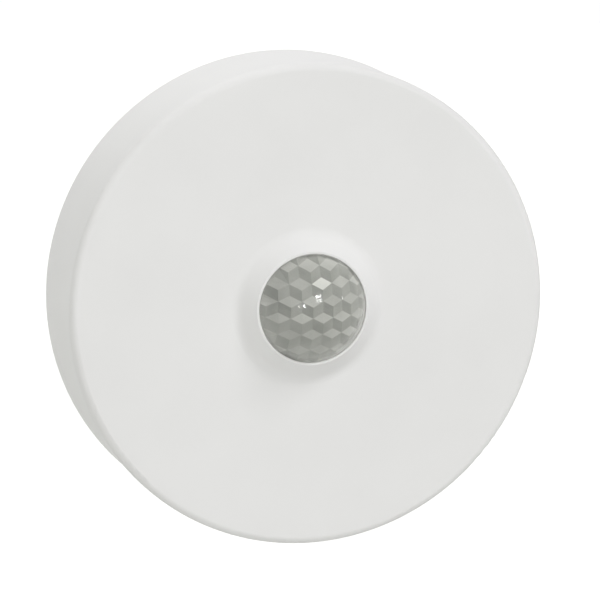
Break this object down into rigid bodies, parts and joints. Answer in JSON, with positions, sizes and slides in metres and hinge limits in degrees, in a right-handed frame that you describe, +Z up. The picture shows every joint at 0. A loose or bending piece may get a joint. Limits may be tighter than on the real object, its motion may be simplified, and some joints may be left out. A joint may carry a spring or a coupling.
{
  "type": "motion and light sensor",
  "caption": "Round white wall-mounted motion and light sensor with a faceted lens dome in a flared boss, twisting off its wall plate, with coin cell, board and reset key inside.",
  "frame": {"origin": "middle of the wall plate's back face, where it meets the wall", "axes": "+Z up the wall, +Y into the wall, so the lens looks along -Y, and +X to the right seen from the room"},
  "size_m": [0.085, 0.028, 0.085],
  "materials": {
    "white_plastic": "fine satin moulded plastic",
    "lens_plastic": "smooth translucent lens plastic, grey against the dark inside",
    "black_plastic": "moulded",
    "zinc_steel": "zinc-plated",
    "board_laminate": "green solder mask",
    "nickel_can": "nickel-plated",
    "silicon_window": "polished coated silicon",
    "element_ceramic": "unglazed",
    "gilt_leads": "gold flash",
    "clear_package": "clear epoxy package",
    "led_package": "white package with clear lens",
    "cell_steel": "nickel-plated steel",
    "contact_strip": "tinned phosphor bronze",
    "switch_cream": "moulded",
    "antenna_ceramic": "fired",
    "chip_epoxy": "moulded epoxy",
    "tinned_legs": "tinned",
    "aluminium_can": "drawn",
    "capacitor_ceramic": "fired"
  },
  "bodies": {
    "wall_plate": {"wall_plate": "white_plastic"},
    "sensor_head": {"housing": "white_plastic", "front_cover": "white_plastic", "lens": "lens_plastic", "lens_retainer": "black_plastic", "retainer_screws": "zinc_steel", "board_screws": "zinc_steel", "circuit_board": "board_laminate", "pir_can": "nickel_can", "pir_window": "silicon_window", "pir_header": "nickel_can", "pir_element": "element_ceramic", "pir_leads": "gilt_leads", "pir_spacer": "black_plastic", "light_sensor": "clear_package", "status_led": "led_package", "battery_case": "cell_steel", "battery_seal": "black_plastic", "battery_cap": "cell_steel", "battery_holder": "black_plastic", "battery_contact_negative": "contact_strip", "battery_contact_positive": "contact_strip", "reset_switch_body": "black_plastic", "reset_switch_cover": "nickel_can", "radio_board": "board_laminate", "radio_shield": "nickel_can", "antenna_chip": "antenna_ceramic", "amplifier_chip": "chip_epoxy", "amplifier_legs": "tinned_legs", "capacitor_base": "black_plastic", "capacitor_can": "aluminium_can", "crystal": "nickel_can", "resistors": "chip_epoxy", "ceramic_capacitors": "capacitor_ceramic"},
    "reset_button": {"reset_key": "white_plastic", "reset_plunger": "switch_cream"}
  },
  "joints": [
    {"name": "head_twist", "type": "hinge", "parent": "wall_plate", "child": "sensor_head", "pos_m": [0, 0, 0], "axis": [0, -1, 0], "range_deg": [0, 20]},
    {"name": "reset_press", "type": "slide", "parent": "sensor_head", "child": "reset_button", "axis": [0, -1, 0], "range_m": [0, 0.0003], "stiffness_N_per_m": 600}
  ]
}
